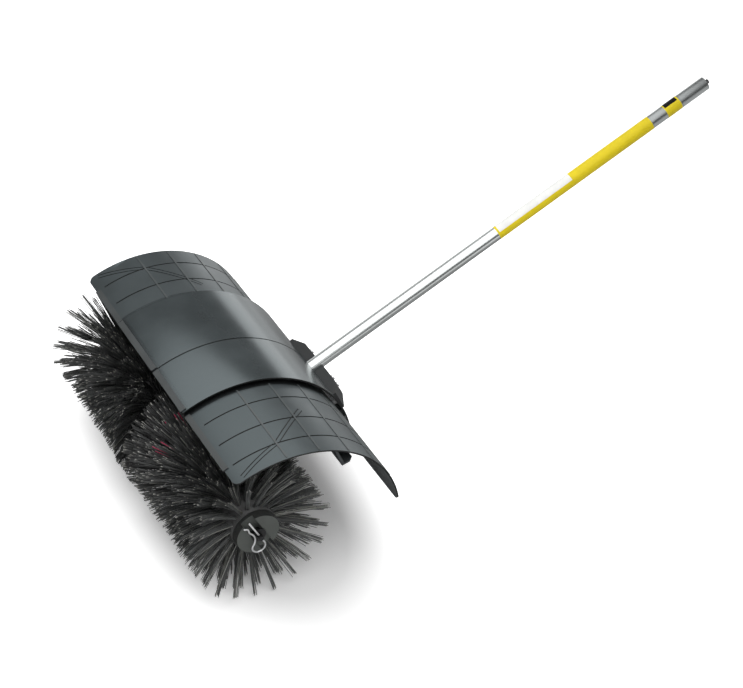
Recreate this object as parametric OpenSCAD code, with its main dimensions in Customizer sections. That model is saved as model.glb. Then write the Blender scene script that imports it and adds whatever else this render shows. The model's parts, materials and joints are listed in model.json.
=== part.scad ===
// Power brush sweeper attachment: a worm gearbox between two bristle drums, an arched hood and a drive tube.
// Millimetres, +Z up, +Y towards the tube end, +X towards the left drum.
// The origin is on the floor, below the middle of the whole part.

/* [Brush] */
// Diameter over the bristle tips, which also sets the axle height above the floor
brush_d = 260; // [180:1:340]
// Outer diameter of each drum core
core_d = 78; // [60:1:110]
// Wall of each drum core
core_wall = 4; // [2:0.5:8]
// Distance of the inner drum ends from the middle plane
drum_inner_x = 50; // [46:1:80]
// Distance of the outer drum faces from the middle plane
drum_outer_x = 286; // [200:1:400]
// Thickness of the backing strip that carries the tufts
backing_t = 2.5; // [1:0.5:6]
// Tuft rows on each drum
tuft_rows = 12; // [6:1:12]
// Tufts around each row
tufts_round = 20; // [12:1:20]
// Length of a tuft root along the drum
tuft_root = 5.5; // [3:0.5:10]
// Width of a tuft tip
tuft_tip = 4.5; // [2:0.5:6]
// Inset of the first and last tuft rows from the backing ends
tuft_inset = 6; // [4:0.5:12]
// Lean of the inner tufts towards the middle
lean_in = 31; // [0:1:34]
// Lean of the outer tufts past the drum end
lean_out = 40; // [0:1:40]

/* [Axle] */
// Diameter of the axle at its bearings
axle_d = 20; // [14:0.5:24]
// Diameter of the axle inside the drums
axle_drum_d = 16; // [10:0.5:18]
// Diameter of the axle stub that takes the clip
axle_stub_d = 10; // [8:0.5:14]
// Length of the stub beyond the drum face
axle_stub = 13; // [10:0.5:20]
// Width across flats of the hexagon that drives a drum
drive_hex = 17; // [12:0.5:20]
// Length of that hexagon
drive_hex_len = 30; // [15:1:50]
// Diameter of the collar that locates a drum
collar_d = 30; // [22:1:40]
// Gap between collar and gearbox boss
collar_gap = 1; // [0.5:0.1:3]
// Thickness of that collar
collar_t = 5; // [3:0.5:7]
// Thickness of the washer under the clip
washer_t = 3; // [1:0.5:3]
// Diameter of that washer
washer_d = 26; // [18:1:34]

/* [Drum Caps] */
// Depth of the cap spigot inside the core
cap_spigot = 14; // [8:1:30]
// Thickness of the cap outside the core
cap_t = 15; // [8:1:24]
// Width of the channel across the cap face
channel_w = 24; // [20:1:50]
// Depth of that channel
channel_t = 9; // [3:0.5:12]
// Thickness of the spigot wall
spigot_wall = 4; // [2:0.5:8]

/* [Clips] */
// Wire diameter of the spring clips
wire_d = 3.2; // [2:0.1:4]
// Distance of the clip wire from the drum face
clip_out = 6; // [5:0.1:8]
// Straight leg beyond the axle on the tip side
clip_tip_len = 42; // [20:1:60]
// Straight leg beyond the axle on the loop side
clip_loop_len = 19; // [12:1:40]
// Radius of the loop
loop_r = 12; // [8:0.1:14]
// Radius of the neck between loop and bulge
neck_r = 21.6; // [18:0.1:24]
// Radius of the neck before the flared tip
nose_r = 6; // [5:0.1:8]
// Radius of the bulge over the axle
bulge_r = 16; // [12:0.5:20]
// Length of the flared tip
flare_len = 5; // [4:0.5:14]
// Angle of the clip below the level, seen from the left
clip_angle = 64.7; // [0:0.1:180]
// Running clearance of the leg in its hole
leg_clear = 0.08; // [0.02:0.01:0.1]

/* [Gearbox] */
// Pitch diameter of the worm, which with the wheel sets how far the tube axis lies below the axle
worm_pitch_d = 29; // [27:0.5:31]
// Module of the worm and wheel
gear_m = 2.5; // [2.3:0.05:2.6]
// Teeth of the wheel
wheel_teeth = 34; // [30:1:35]
// Width of the wheel rim
rim_w = 16; // [10:0.5:24]
// Size across corners of the seat between hub and rim
rim_seat_d = 60; // [40:1:66]
// Diameter of the wheel hub boss
hub_d = 34; // [28:1:44]
// Length of the wheel hub boss
hub_len = 28; // [18:1:36]
// Length of the worm
worm_len = 44; // [30:1:50]
// Width across flats of the worm seat
worm_hex = 16; // [12:0.5:18]
// Play between the flanks
flank_play = 0.5; // [0.3:0.05:0.8]
// Gap round the wheel in its chamber
chamber_clear = 3.5; // [2:0.5:6]
// Wall round the wheel chamber, which takes the cover screws
case_rim = 11.5; // [10:0.5:16]
// Right side of the case from the middle
case_right = 32; // [28:1:36]
// Left side of the case, where the cover seats
case_left = 26; // [25:1:30]
// Thickness of the right case wall
case_wall = 12; // [6:1:16]
// Thickness of the cover plate
cover_t = 8; // [5:0.5:12]
// Diameter of the axle bosses
boss_d = 50; // [44:1:60]
// Distance of the boss faces from the middle
boss_x = 41; // [38:0.5:44]
// Outer diameter of the worm barrel
barrel_d = 50; // [44:1:56]
// Diameter of the worm chamber
worm_chamber_d = 39; // [36:0.5:42]
// Gap between the barrel's end cap and the round case
barrel_clear = 0.25; // [0.1:0.05:2]
// Thickness of the front end cap
end_cap_t = 6; // [3:0.5:12]
// Outer diameter of the tube socket
socket_d = 38; // [32:0.5:44]
// Length of the tube held in the socket
socket_len = 50; // [30:1:80]
// Width of the clamp lugs
lug_w = 28; // [20:1:32]
// Height of the clamp lugs above the tube axis
lug_h = 30; // [26:1:36]
// Width of the clamp slit
slit_w = 3; // [1:0.5:5]
// Diameter of the filler plug thread
plug_d = 10; // [6:0.5:14]

/* [Bearings] */
// Outer diameter of the axle bearings and seals
axle_bearing_d = 38; // [32:1:42]
// Width of the axle bearings
axle_bearing_w = 10; // [6:0.5:14]
// Outer diameter of the worm bearings and seal
worm_bearing_d = 32; // [26:1:36]
// Width of the worm bearings
worm_bearing_w = 12; // [8:0.5:14]
// Width of the worm seal
worm_seal_w = 7; // [4:0.5:8]
// Distance of the worm bearings from the wheel axis
worm_bearing_y = 30; // [26:0.5:34]
// Diameter of the worm shaft journals
journal_d = 14; // [10:0.5:16]
// Running clearance of every turning fit
run_clear = 0.05; // [0.02:0.01:0.1]

/* [Tube] */
// Outer diameter of the tube
tube_d = 25.4; // [20:0.1:32]
// Wall of the tube
tube_wall = 1.5; // [1:0.1:3]
// Distance of the tube end from the wheel axis, along the tube
tube_reach = 1128; // [600:1:1600]
// Tilt of the tube above the level
tube_tilt = 22.8; // [0:0.1:45]
// Length of the bare tube end that enters the power unit
end_len = 59; // [30:1:60]
// Width of the depth mark behind that end
mark_w = 2; // [1:0.5:3]
// Depth of that mark
mark_t = 0.4; // [0.2:0.1:0.8]
// Diameter of the drive shaft
shaft_d = 9; // [7:0.5:12]
// Size of the square ends of the drive shaft
shaft_sq = 6; // [4:0.1:6.3]
// Length of the square that enters the worm shaft
shaft_sq_len = 15; // [10:1:30]
// Length of the square at the free end
tip_sq_len = 14; // [8:1:30]
// Shaft beyond the tube end
tip_out = 6.5; // [2:0.5:20]
// Length of each bush inside the tube
bush_len = 20; // [10:1:40]
// Positions of the three bushes along the tube, as shares of its reach
bush_shares = [0.24, 0.6, 0.965]; // [0.1:0.005:0.97]
// Start of the long label film, back from the tube end
long_film_back = 471; // [200:1:700]
// Length of the long label film
long_film_len = 345; // [100:1:500]
// Start of the short label film, back from the tube end
short_film_back = 93; // [70:1:120]
// Length of the short label film
short_film_len = 32; // [10:1:60]
// Thickness of the films
film_t = 0.3; // [0.3:0.1:0.5]

/* [Hood] */
// Outer radius of the hood wings
hood_r = 216.5; // [200:0.5:260]
// Hood centre behind the brush axle
hood_back = 45.4; // [30:0.1:60]
// Hood centre below the brush axle
hood_drop = 55; // [40:0.5:70]
// Step from the wings up to the centre panel
hood_step = 9.5; // [6:0.1:12]
// Sheet thickness of the hood
hood_t = 3; // [2:0.5:4]
// Half width of the hood over the wings
hood_half = 300.4; // [200:0.1:400]
// Left edge of the centre panel
panel_left = 110; // [100:1:160]
// Right edge of the centre panel
panel_right = 155; // [100:1:180]
// Offset of the panel seam to the right
seam_x = 8; // [0:1:40]
// Overlap of panel and wings
wing_lap = 42; // [30:1:60]
// Angle of the rear edge about the hood centre
rear_angle = 5.8; // [-10:0.1:15]
// Angle of the front edge about the hood centre
front_angle = 114; // [100:0.1:125]
// Rounding of the outer wing corners
corner_r = 14; // [6:0.5:20]
// Angle covered by the front lip
lip_angle = 2.2; // [0.5:0.1:3]
// Height of the front lip
lip_h = 2; // [0:0.5:5]
// Width of the mould lines
groove_w = 2.6; // [0.5:0.1:4]
// Depth of the mould lines
groove_t = 1.1; // [0.2:0.1:1.5]
// Distances of the wing mould lines from the middle
groove_xs = [152, 208, 260]; // [100:1:290]
// Height of the axial wing ridges
ridge_h = 0.8; // [0.2:0.1:1]
// Width of the axial wing ridges
ridge_w = 3; // [1:0.1:4]
// Angles of the axial wing ridges
ridge_angles = [24.2, 40.2, 56.2, 72.2, 88.2]; // [10:0.1:110]
// Places along X where the wing braces start, bend and end
brace_line_xs = [187, 260, 293]; // [120:1:298]
// Angles of those places round the hood
brace_angles = [66, 88.2, 110]; // [10:0.1:112]
// Distance between the two grooves of a brace
brace_w = 7; // [4:0.5:12]
// Width of each of those grooves
brace_line = 1.8; // [0.5:0.1:2]
// Angles of the pads and screws that join wings and panel
pad_angles = [16, 60, 104]; // [10:1:110]
// Angle covered by each pad
pad_angle = 5; // [3:0.5:8]

/* [Wing Rails] */
// Angle of the rear root of the rail
rail_angle = 54.5; // [45:0.5:65]
// Hang of the rail below the wing
rail_hang = 28.5; // [15:0.5:40]
// Reach of the sloping rail face towards the front
rail_run = 43; // [20:0.5:60]
// Width of the rail foot
rail_foot = 10; // [6:0.5:20]
// Rise of the rail foot towards the rear
rail_rise = 11; // [0:0.5:16]
// Wall of the rail
rail_t = 3; // [2:0.5:5]
// Gap between rail end and wing end
rail_inset = 3; // [0:0.5:20]

/* [Hood Bracket] */
// Half width of the bracket at the hood
bracket_half = 83; // [60:1:95]
// Half width of the bracket at its top
bracket_top_half = 55; // [40:1:80]
// How far the bracket stands out behind the hood panel
bracket_out = 18; // [12:0.5:40]
// Height of the straight bracket edge below the chamfer
bracket_edge = 13; // [8:0.5:20]
// Depth of the bracket below the tube axis
bracket_depth = 44; // [30:1:60]
// Thickness of the plate inside the hood
plate_t = 4; // [2:0.5:8]
// Angle covered by that plate
plate_angle = 12; // [8:0.5:16]
// Clearance of the tube in hood and plate
tube_clear = 2; // [1:0.5:5]
// Distance of the bracket screws from the tube axis
bracket_screw_x = 40; // [25:1:60]

/* [Screws] */
// Shank diameter of the small screws
screw_d = 5; // [3:0.5:6]
// Head diameter of the small screws
head_d = 9; // [6:0.5:12]
// Head height of the small screws
head_h = 3; // [2:0.5:5]
// Number of cover screws
cover_screws = 6; // [4:1:8]
// Number of end cap screws
cap_screws = 3; // [3:1:4]

/* [Hidden] */

// Facet counts of large arcs, turned parts and wire
fn_arc = 120;
fn_turn = 48;
fn_wire = 12;
// Overrun of every cut
over = 0.5;

// Brush
brush_r = brush_d / 2;
core_r = core_d / 2;
core_end = drum_outer_x - cap_t;
backing_r = core_r + backing_t;
row_first = drum_inner_x + tuft_inset + tuft_root / 2;
row_last = core_end - tuft_inset - tuft_root / 2;
row_step = (row_last - row_first) / (tuft_rows - 1);
cells = 2 * tufts_round;
cell_angle = 360 / cells;
collar_x = boss_x + collar_gap;
collar_end = collar_x + collar_t;
hex_end = collar_end + drive_hex_len;
stub_end = drum_outer_x + axle_stub;
clip_x = drum_outer_x + clip_out;
wire_r = wire_d / 2;
core_hub_r = drive_hex / 2 + core_wall * 2;

// Gears
wheel_r = gear_m * wheel_teeth / 2;
worm_r = worm_pitch_d / 2;
worm_drop = wheel_r + worm_r;
chamber_d = 2 * (wheel_r + gear_m + chamber_clear);
case_d = chamber_d + 2 * case_rim;
barrel_half = sqrt(pow(case_d / 2, 2) - pow(worm_drop - barrel_d / 2, 2)) + barrel_clear;
root_share = 1.2;
tooth_root = root_share * gear_m;
lead = PI * gear_m;
flank_angle = 20;
lead_angle = atan(lead / (2 * PI * worm_r));
key_share = 0.3;
key_w = axle_d * key_share;
circlip_t = washer_t / 2;

// Tube and drive line
tube_r = tube_d / 2;
tube_in_r = tube_r - tube_wall;
tube_front = barrel_half + slit_w;
shaft_front = barrel_half - slit_w;
shaft_end = shaft_front + shaft_sq_len;
tip_y = tube_reach + tip_out;
y_rear = tip_y * cos(tube_tilt) + (worm_drop + shaft_sq / 2) * sin(tube_tilt);
axle_y = (brush_r - y_rear) / 2;

// Hood
panel_r = hood_r + hood_step;
panel_in_r = panel_r - hood_t;
wing_in_r = hood_r - hood_t;
lip_from = front_angle - lip_angle;
lip_over_angle = lip_angle / 4;
brace_share = 0.7;
pad_x_left = panel_left - wing_lap / 2;
pad_x_right = panel_right - wing_lap / 2;
// Hood centre in the tilted frame of the tube
hood_u = hood_back * cos(tube_tilt) - hood_drop * sin(tube_tilt);
bracket_top_y = hood_u + panel_r + bracket_out;
hood_w = -hood_back * sin(tube_tilt) - hood_drop * cos(tube_tilt);
plate_mid = tube_tilt + asin((-worm_drop - bracket_depth / 2 - hood_w) / panel_r);
// Start of the cuts through hood and bracket, inside the hood
cut_share = 0.8;
cut_y = hood_r * cut_share;

// Finishes
black_plastic = [0.16, 0.17, 0.18];
grey_plastic = [0.3, 0.32, 0.33];
cast_metal = [0.55, 0.56, 0.57];
bright_steel = [0.75, 0.76, 0.77];
film_yellow = [0.93, 0.75, 0.1];
bristle_black = [0.09, 0.09, 0.1];
rubber = [0.05, 0.05, 0.05];
bronze = [0.72, 0.55, 0.28];

// Frames: brush axle, tilted frame about the axle, tube axis, hood centre
module at_axle() {
    translate([0, axle_y, brush_r]) children();
}

module at_tilt() {
    at_axle() rotate([tube_tilt, 0, 0]) children();
}

module at_tube() {
    at_tilt() translate([0, 0, -worm_drop]) children();
}

module at_hood() {
    at_axle() translate([0, hood_back, -hood_drop]) children();
}

// Round bars along X and Y
module bar_x(x0, x1, r, n = fn_turn) {
    translate([x0, 0, 0]) rotate([0, 90, 0]) cylinder(h = x1 - x0, r = r, $fn = n);
}

module bar_y(y0, y1, r, n = fn_turn) {
    translate([0, y0, 0]) rotate([-90, 0, 0]) cylinder(h = y1 - y0, r = r, $fn = n);
}

module ring_x(x0, x1, r0, r1) {
    difference() {
        bar_x(x0, x1, r1);
        bar_x(x0 - over, x1 + over, r0);
    }
}

module ring_y(y0, y1, r0, r1) {
    difference() {
        bar_y(y0, y1, r1);
        bar_y(y0 - over, y1 + over, r0);
    }
}

// Hexagonal and square bars
module hex_x(x0, x1, flats) {
    translate([x0, 0, 0]) rotate([0, 90, 0]) cylinder(h = x1 - x0, d = flats / cos(30), $fn = 6);
}

module hex_y(y0, y1, flats) {
    translate([0, y0, 0]) rotate([-90, 0, 0]) cylinder(h = y1 - y0, d = flats / cos(30), $fn = 6);
}

module square_y(y0, y1, side) {
    translate([-side / 2, y0, -side / 2]) cube([side, y1 - y0, side]);
}

// Curved strip about the X axis: angles from +Y towards +Z, radii r0 to r1, from x0 to x1
module strip(a0, a1, r0, r1, x0, x1) {
    rotate([90, 0, 90]) rotate([0, 0, a0]) rotate_extrude(angle = a1 - a0, $fn = fn_arc)
        translate([r0, x0]) square([r1 - r0, x1 - x0]);
}

// Mirrors the children to the right side
module right_side() {
    mirror([1, 0, 0]) children();
}

// Round bar pointing away from the X axis at an angle
module spoke(x, a, r0, r1, r) {
    translate([x, 0, 0]) rotate([a, 0, 0]) bar_y(r0, r1, r);
}

// Tube with its films and bushes
module drive_tube() {
    mark_y = tube_reach - end_len - mark_w;
    color(bright_steel) at_tube() difference() {
        ring_y(tube_front, tube_reach, tube_in_r, tube_r);
        ring_y(mark_y, mark_y + mark_w, tube_r - mark_t, tube_d);
    }
}

module tube_bushes() {
    color(bronze) at_tube() for (s = bush_shares) {
        y0 = s * tube_reach - bush_len / 2;
        ring_y(y0, y0 + bush_len, shaft_d / 2 + run_clear, tube_in_r);
    }
}

module long_film() {
    y0 = tube_reach - long_film_back;
    color(film_yellow) at_tube() ring_y(y0, y0 + long_film_len, tube_r, tube_r + film_t);
}

module short_film() {
    y0 = tube_reach - short_film_back;
    color(film_yellow) at_tube() ring_y(y0, y0 + short_film_len, tube_r, tube_r + film_t);
}

// Gearbox
cover_screw_r = (case_d + chamber_d) / 4;
cap_screw_r = (barrel_d + worm_bearing_d) / 4;
lug_start_share = 0.12;
lug_len_share = 0.8;
clamp_shares = [0.25, 0.75];
lug_y = tube_front + socket_len * lug_start_share;
lug_len = socket_len * lug_len_share;
clamp_ys = [for (s = clamp_shares) lug_y + lug_len * s];
clamp_z = (lug_h + tube_r) / 2 + slit_w / 2;
clamp_reach = lug_w / 2;
cover_screw_len = cover_t * 2;

module cover_spots() {
    for (i = [0 : cover_screws - 1]) rotate([360 * i / cover_screws + tube_tilt, 0, 0])
        translate([0, cover_screw_r, 0]) children();
}

module cap_spots() {
    for (i = [0 : cap_screws - 1]) rotate([0, 360 * i / cap_screws, 0])
        translate([0, 0, cap_screw_r]) children();
}

module worm_line() {
    translate([0, 0, -worm_drop]) children();
}

module gearbox_housing() {
    color(cast_metal) at_tilt() difference() {
        union() {
            bar_x(-case_right, case_left, case_d / 2);
            bar_x(-boss_x, -case_right + over, boss_d / 2);
            worm_line() bar_y(-barrel_half, barrel_half, barrel_d / 2);
            worm_line() bar_y(barrel_half - over, tube_front + socket_len, socket_d / 2);
            worm_line() translate([-lug_w / 2, lug_y, 0]) cube([lug_w, lug_len, lug_h]);
        }
        bar_x(case_wall - case_right, case_left + over, chamber_d / 2);
        bar_x(-boss_x - over, 0, axle_bearing_d / 2);
        worm_line() bar_y(-worm_bearing_y, worm_bearing_y, worm_chamber_d / 2);
        worm_line() bar_y(-barrel_half - over, tube_front - slit_w, worm_bearing_d / 2);
        worm_line() bar_y(0, tube_front + over, journal_d / 2 + slit_w);
        worm_line() bar_y(tube_front, tube_front + socket_len + over, tube_r);
        worm_line() translate([-slit_w / 2, lug_y - slit_w, 0])
            cube([slit_w, socket_len + slit_w, lug_h + over]);
        for (y = clamp_ys) worm_line() translate([0, y, clamp_z])
            bar_x(-lug_w, lug_w, screw_d / 2);
        cover_spots() bar_x(case_left - cover_screw_len + cover_t, case_left + over, screw_d / 2);
        worm_line() cap_spots()
            bar_y(-barrel_half - over, -barrel_half + cover_screw_len - cover_t, screw_d / 2);
        spoke(0, plug_angle, chamber_d / 2 - 2 * slit_w, case_d / 2 + over, plug_d / 2);
    }
}

// Angle of the filler plug on the case
plug_angle = 120;

module filler_plug() {
    color(bright_steel) at_tilt() {
        spoke(0, plug_angle, chamber_d / 2 + slit_w / 2, case_d / 2 + head_h, plug_d / 2);
        rotate([plug_angle, 0, 0]) hex_y(case_d / 2, case_d / 2 + 2 * head_h, plug_d + 2 * slit_w);
    }
}

module gearbox_cover() {
    color(cast_metal) at_tilt() difference() {
        union() {
            bar_x(case_left, case_left + cover_t, case_d / 2);
            bar_x(case_left + cover_t - over, boss_x, boss_d / 2);
        }
        bar_x(case_left - over, boss_x + over, axle_bearing_d / 2);
        cover_spots() bar_x(case_left - over, case_left + cover_t + over, screw_d / 2);
    }
}

module cover_screws_set() {
    color(bright_steel) at_tilt() cover_spots() {
        bar_x(case_left - cover_screw_len + cover_t, case_left + cover_t + head_h, screw_d / 2);
        bar_x(case_left + cover_t, case_left + cover_t + head_h, head_d / 2);
    }
}

module end_cap() {
    color(cast_metal) at_tube() difference() {
        union() {
            bar_y(-barrel_half - end_cap_t, -barrel_half, barrel_d / 2);
            bar_y(-barrel_half - over, -worm_bearing_y - worm_bearing_w, worm_bearing_d / 2);
        }
        bar_y(-barrel_half - over, -worm_bearing_y, journal_d / 2 + slit_w);
        cap_spots() bar_y(-barrel_half - end_cap_t - over, -barrel_half + over, screw_d / 2);
    }
}

module end_cap_screws() {
    color(bright_steel) at_tube() cap_spots() {
        bar_y(-barrel_half - end_cap_t - head_h, -barrel_half + cover_screw_len - cover_t, screw_d / 2);
        bar_y(-barrel_half - end_cap_t - head_h, -barrel_half - end_cap_t, head_d / 2);
    }
}

module clamp_screws() {
    color(bright_steel) at_tube() for (y = clamp_ys) translate([0, y, clamp_z]) {
        bar_x(-lug_w / 2 - head_h, lug_w / 2 + head_h, screw_d / 2);
        bar_x(lug_w / 2, lug_w / 2 + head_h, head_d / 2);
    }
}

// Bearings and seals
module worm_bearing_front() {
    y0 = -worm_bearing_y - worm_bearing_w;
    color(bright_steel) at_tube()
        ring_y(y0, y0 + worm_bearing_w, journal_d / 2 + run_clear, worm_bearing_d / 2);
}

module worm_bearing_rear() {
    y0 = worm_bearing_y;
    color(bright_steel) at_tube()
        ring_y(y0, y0 + worm_bearing_w, journal_d / 2 + run_clear, worm_bearing_d / 2);
}

module worm_seal() {
    y0 = worm_bearing_y + worm_bearing_w;
    color(rubber) at_tube() ring_y(y0, y0 + worm_seal_w, journal_d / 2 + run_clear, worm_bearing_d / 2);
}

module axle_bearing() {
    at_axle() ring_x(case_left, case_left + axle_bearing_w, axle_d / 2 + run_clear, axle_bearing_d / 2);
}

module axle_seal() {
    at_axle() ring_x(case_left + axle_bearing_w, boss_x, axle_d / 2 + run_clear, axle_bearing_d / 2);
}

module axle_bearing_left() {
    color(bright_steel) axle_bearing();
}

module axle_bearing_right() {
    color(bright_steel) right_side() axle_bearing();
}

module axle_seal_left() {
    color(rubber) axle_seal();
}

module axle_seal_right() {
    color(rubber) right_side() axle_seal();
}

// Hood
module panel_screws_left(r0, r1, r) {
    for (a = pad_angles) spoke(pad_x_left, a, r0, r1, r);
}

module panel_screws_right(r0, r1, r) {
    for (a = pad_angles) spoke(-pad_x_right, a, r0, r1, r);
}

module bracket_spots() {
    for (sx = [-1, 1]) for (sz = [-1, 1])
        translate([sx * bracket_screw_x, 0, -bracket_depth / 2 + sz * bracket_depth / 4]) children();
}

screw_bite = hood_t / 2;
head_seat_r = sqrt(pow(wing_in_r, 2) - pow(head_d / 2, 2)) - run_clear;

// Rolled lip along the front edge of a hood piece of outer radius r
module lip(r, x0, x1) {
    strip(lip_from, front_angle + lip_over_angle, r - hood_t / 2, r + lip_h, x0, x1);
}

// Groove pair that braces a wing, straight between two points given as [x, angle]
module brace(p, q) {
    mid = (p + q) / 2;
    rise = hood_r * (q[1] - p[1]) * PI / 180;
    run = q[0] - p[0];
    intersection() {
        difference() {
            bar_x(0, hood_half, hood_r + over, fn_arc);
            bar_x(-over, hood_half + over, hood_r - groove_t * brace_share, fn_arc);
        }
        rotate([mid[1], 0, 0]) translate([mid[0], 0, 0]) rotate([0, -atan2(rise, run), 0])
            for (s = [-1, 1]) translate([0, hood_r, s * brace_w / 2])
                cube([norm([rise, run]) - brace_w, hood_t * 4, brace_line], center = true);
    }
}

module hood_panel() {
    color(black_plastic) difference() {
        at_hood() difference() {
            union() {
                strip(rear_angle, front_angle, panel_in_r, panel_r, -panel_right, panel_left);
                lip(panel_r, -panel_right + slit_w, -seam_x - groove_w);
                lip(panel_r, -seam_x + groove_w, panel_left - slit_w);
            }
            strip(rear_angle - lip_angle, front_angle + lip_angle, panel_r - groove_t, panel_r + over,
                -seam_x - groove_w / 2, -seam_x + groove_w / 2);
            panel_screws_left(wing_in_r, panel_in_r + screw_bite, screw_d / 2);
            panel_screws_right(wing_in_r, panel_in_r + screw_bite, screw_d / 2);
        }
        at_tube() bar_y(cut_y, bracket_top_y, tube_r + tube_clear);
        at_tube() bracket_spots() bar_y(cut_y, bracket_top_y, screw_d / 2);
    }
}

corner_over_share = 1.03;

// Cut that rounds the outer wing corner at an angle, with the wing on the side s
module corner_cut(a, s) {
    rotate([a, 0, 0]) translate([hood_half - corner_r, wing_in_r - hood_t, s * corner_r]) difference() {
        translate([0, 0, s > 0 ? -corner_r - over : 0]) cube([corner_r + over, 3 * hood_t, corner_r + over]);
        bar_y(-over, 3 * hood_t + over, corner_r * corner_over_share);
    }
}

// One wing, drawn on the left, from x0 to the hood end
module wing(x0, pad_x) {
    open_x = x0 + wing_lap + slit_w;
    lip_end_x = groove_xs[len(groove_xs) - 1];
    difference() {
        strip(rear_angle, front_angle, wing_in_r, hood_r, x0, hood_half);
        corner_cut(front_angle, -1);
        corner_cut(rear_angle, 1);
        for (x = groove_xs)
            strip(rear_angle - lip_angle, lip_from - lip_angle, hood_r - groove_t, hood_r + over,
                x - groove_w / 2, x + groove_w / 2);
        for (i = [1 : len(brace_line_xs) - 1])
            brace([brace_line_xs[i - 1], brace_angles[i - 1]], [brace_line_xs[i], brace_angles[i]]);
    }
    lip(hood_r, open_x, lip_end_x);
    for (a = pad_angles)
        strip(a - pad_angle / 2, a + pad_angle / 2, hood_r - hood_t / 2, panel_in_r,
            pad_x - head_d, pad_x + head_d);
    for (a = ridge_angles) rotate([a, 0, 0])
        translate([open_x, hood_r - hood_t / 2, -ridge_w / 2])
            cube([hood_half - slit_w - open_x, hood_t / 2 + ridge_h, ridge_w]);
}

module hood_wing_left() {
    color(black_plastic) at_hood() difference() {
        wing(panel_left - wing_lap, pad_x_left);
        panel_screws_left(wing_in_r - over, panel_r, screw_d / 2);
    }
}

module hood_wing_right() {
    color(black_plastic) at_hood() difference() {
        right_side() wing(panel_right - wing_lap, pad_x_right);
        panel_screws_right(wing_in_r - over, panel_r, screw_d / 2);
    }
}

module hood_screws() {
    color(bright_steel) at_hood() {
        panel_screws_left(head_seat_r - head_h, panel_in_r + screw_bite, screw_d / 2);
        panel_screws_left(head_seat_r - head_h, head_seat_r, head_d / 2);
        panel_screws_right(head_seat_r - head_h, panel_in_r + screw_bite, screw_d / 2);
        panel_screws_right(head_seat_r - head_h, head_seat_r, head_d / 2);
    }
}

// Hollow wedge-shaped rail under a wing, bonded to its inner face
module rail(x0) {
    low = wing_in_r - rail_hang;
    wide = rail_run;
    intersection() {
        bar_x(x0, hood_half - rail_inset, wing_in_r, fn_arc);
        difference() {
            rotate([rail_angle, 0, 0]) translate([x0, 0, 0]) rotate([90, 0, 90])
                linear_extrude(hood_half - rail_inset - x0)
                polygon([[hood_r, wide], [low, 0], [low + rail_rise, -rail_foot], [hood_r, -rail_foot / 2]]);
            rotate([rail_angle, 0, 0]) translate([x0 - over, 0, 0]) rotate([90, 0, 90])
                linear_extrude(hood_half - x0 + over)
                polygon([[hood_r, wide - 2 * rail_t], [low + 2 * rail_t, -rail_t / 2],
                    [low + rail_rise + rail_t, -rail_foot + rail_t], [hood_r, -rail_foot / 2 - rail_t]]);
        }
    }
}

module wing_rail_left() {
    color(black_plastic) at_hood() rail(panel_left + slit_w);
}

module wing_rail_right() {
    color(black_plastic) at_hood() right_side() rail(panel_right + slit_w);
}

module hood_bracket() {
    color(black_plastic) difference() {
        at_tube() translate([0, 0, -bracket_depth]) linear_extrude(bracket_depth)
            polygon([[-bracket_half, cut_y], [bracket_half, cut_y],
                [bracket_half, bracket_top_y - bracket_edge], [bracket_top_half, bracket_top_y],
                [-bracket_top_half, bracket_top_y], [-bracket_half, bracket_top_y - bracket_edge]]);
        at_hood() bar_x(-hood_half, hood_half, panel_r, fn_arc);
        at_tube() bar_y(0, tube_reach, tube_r);
        at_tube() bracket_spots() bar_y(0, tube_reach, screw_d / 2);
    }
}

module hood_plate() {
    color(bright_steel) difference() {
        at_hood() strip(plate_mid - plate_angle / 2, plate_mid + plate_angle / 2,
            panel_in_r - plate_t, panel_in_r, -bracket_top_half, bracket_top_half);
        at_tube() bar_y(0, tube_reach, tube_r + tube_clear);
        at_tube() bracket_spots() bar_y(0, tube_reach, screw_d / 2);
    }
}

plate_y = hood_u + panel_in_r - plate_t;

module bracket_screws() {
    color(bright_steel) at_tube() bracket_spots() {
        bar_y(plate_y - head_h, bracket_top_y + head_h, screw_d / 2);
        bar_y(bracket_top_y, bracket_top_y + head_h, head_d / 2);
    }
}

// Brush: axle, worm wheel, drums
module axle_half() {
    bar_x(0, collar_end, axle_d / 2);
    bar_x(collar_x, collar_end, collar_d / 2);
    hex_x(collar_end - over, hex_end, drive_hex);
    bar_x(collar_end, drum_outer_x, axle_drum_d / 2);
    bar_x(drum_outer_x - over, stub_end, axle_stub_d / 2);
}

module at_clip() {
    at_axle() rotate([-clip_angle, 0, 0]) translate([clip_x, 0, 0]) children();
}

module brush_axle() {
    color(bright_steel) difference() {
        at_axle() {
            axle_half();
            right_side() axle_half();
        }
        at_clip() bar_y(-axle_d, axle_d, wire_r + leg_clear, fn_turn);
        right_side() at_clip() bar_y(-axle_d, axle_d, wire_r + leg_clear, fn_turn);
        at_axle() translate([-hub_len / 2, -key_w / 2, axle_d / 2 - key_w / 2]) cube([hub_len, key_w, key_w]);
        at_axle() for (sx = [-1, 1]) translate([sx * (hub_len / 2 + circlip_t / 2), 0, 0])
            ring_x(-circlip_t / 2, circlip_t / 2, axle_d / 2 - circlip_t, axle_d);
    }
}

module wheel_hub() {
    color(cast_metal) at_axle() difference() {
        union() {
            bar_x(-hub_len / 2, hub_len / 2, hub_d / 2);
            bar_x(-rim_w / 2, rim_w / 2, rim_seat_d / 2, 12);
        }
        bar_x(-hub_len, hub_len, axle_d / 2);
        translate([-hub_len, -key_w / 2, 0]) cube([2 * hub_len, key_w, axle_d / 2 + key_w / 2]);
    }
}

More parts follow.
